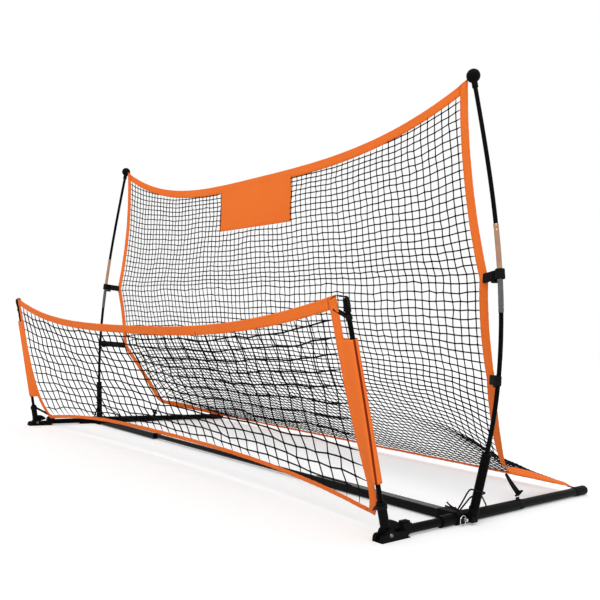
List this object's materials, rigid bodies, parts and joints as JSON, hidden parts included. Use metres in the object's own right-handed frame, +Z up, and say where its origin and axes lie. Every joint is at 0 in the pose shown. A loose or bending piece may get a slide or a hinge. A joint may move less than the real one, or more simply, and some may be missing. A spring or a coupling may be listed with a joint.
{
  "type": "pitch back rebounder",
  "caption": "Free-standing two-sided ball rebounder with a tall curved net between bent bows and a low hinged volley net in front.",
  "frame": {"origin": "on the ground under the middle of the whole assembly", "axes": "+X across the frame along the crossbar, -Y towards the low volley net, +Z up"},
  "size_m": [2.202, 1.1899, 1.2375],
  "materials": {
    "rail_paint": "satin black powder coat",
    "crossbar_paint": "glossy black powder coat",
    "socket_paint": "satin black powder coat",
    "bow_rod": "black fibreglass rod",
    "black_plastic": "fine moulded texture",
    "steel": "bright plated steel",
    "sleeve_metal": "drawn tube",
    "net_twine": "knotted black twine",
    "orange_tape": "woven orange tape and cloth",
    "black_webbing": "woven black webbing and cord"
  },
  "bodies": {
    "root": {"front_rail_left": "rail_paint", "front_rail_right": "rail_paint", "middle_rail_left": "rail_paint", "middle_rail_right": "rail_paint", "rear_rail_left": "rail_paint", "rear_rail_right": "rail_paint", "rear_caps": "black_plastic", "rail_bushes": "black_plastic", "corner_joint_left": "black_plastic", "corner_joint_right": "black_plastic", "crossbar_center": "crossbar_paint", "crossbar_arm_left": "crossbar_paint", "crossbar_arm_right": "crossbar_paint", "arm_plugs": "black_plastic", "hinge_block_left": "black_plastic", "hinge_block_right": "black_plastic", "hinge_bolts": "steel", "hinge_nuts": "steel", "bow_socket_left": "socket_paint", "bow_socket_right": "socket_paint", "socket_bushes": "black_plastic", "lower_bow_left": "bow_rod", "lower_bow_right": "bow_rod", "upper_bow_left": "bow_rod", "upper_bow_right": "bow_rod", "bow_sleeves": "sleeve_metal", "bow_tips": "black_plastic", "rebound_net": "net_twine", "rebound_top_hem": "orange_tape", "rebound_side_bands": "orange_tape", "rebound_rear_hem": "orange_tape", "target_patch": "orange_tape", "upper_straps": "black_webbing", "lower_straps": "black_webbing", "strap_sliders": "black_plastic", "hold_down_straps": "black_webbing", "strap_buckles": "black_plastic", "anchor_bands": "black_webbing", "rear_ties": "black_webbing", "retention_cords": "black_webbing"},
    "volley_frame": {"hinge_knuckle_left": "black_plastic", "hinge_knuckle_right": "black_plastic", "volley_pole_left": "bow_rod", "volley_pole_right": "bow_rod", "pole_caps": "black_plastic", "volley_net": "net_twine", "volley_top_hem": "orange_tape", "volley_bottom_hem": "orange_tape", "volley_side_bands": "orange_tape", "pole_sleeves": "orange_tape", "volley_corner_ties": "black_webbing"},
    "latch_left": {"latch_button_left": "black_plastic"},
    "snap_left": {"snap_button_left": "steel"},
    "lock_pin_left": {"lock_pin_left": "steel"},
    "pull_ring_left": {"pin_ring_left": "steel"},
    "latch_right": {"latch_button_right": "black_plastic"},
    "snap_right": {"snap_button_right": "steel"},
    "lock_pin_right": {"lock_pin_right": "steel"},
    "pull_ring_right": {"pin_ring_right": "steel"}
  },
  "joints": [
    {"name": "volley_fold", "type": "hinge", "parent": "root", "child": "volley_frame", "pos_m": [0, -0.445, 0.015], "axis": [1, 0, 0], "range_deg": [-30, 30]},
    {"name": "latch_press_left", "type": "slide", "parent": "root", "child": "latch_left", "axis": [0, 0, -1], "range_m": [0, 0.003], "stiffness_N_per_m": 500, "springref_m": -0.002},
    {"name": "snap_press_left", "type": "slide", "parent": "root", "child": "snap_left", "axis": [0, 0, -1], "range_m": [0, 0.006], "stiffness_N_per_m": 500, "springref_m": -0.002},
    {"name": "pin_pull_left", "type": "slide", "parent": "root", "child": "lock_pin_left", "axis": [-1, 0, 0], "range_m": [0, 0.03]},
    {"name": "ring_swing_left", "type": "hinge", "parent": "lock_pin_left", "child": "pull_ring_left", "pos_m": [-1.0339, -0.1525, 0.015], "axis": [0, 0, -1], "range_deg": [0, 100]},
    {"name": "latch_press_right", "type": "slide", "parent": "root", "child": "latch_right", "axis": [0, 0, -1], "range_m": [0, 0.003], "stiffness_N_per_m": 500, "springref_m": -0.002},
    {"name": "snap_press_right", "type": "slide", "parent": "root", "child": "snap_right", "axis": [0, 0, -1], "range_m": [0, 0.006], "stiffness_N_per_m": 500, "springref_m": -0.002},
    {"name": "pin_pull_right", "type": "slide", "parent": "root", "child": "lock_pin_right", "axis": [1, 0, 0], "range_m": [0, 0.03]},
    {"name": "ring_swing_right", "type": "hinge", "parent": "lock_pin_right", "child": "pull_ring_right", "pos_m": [1.0339, -0.1525, 0.015], "axis": [0, 0, 1], "range_deg": [0, 100]}
  ]
}
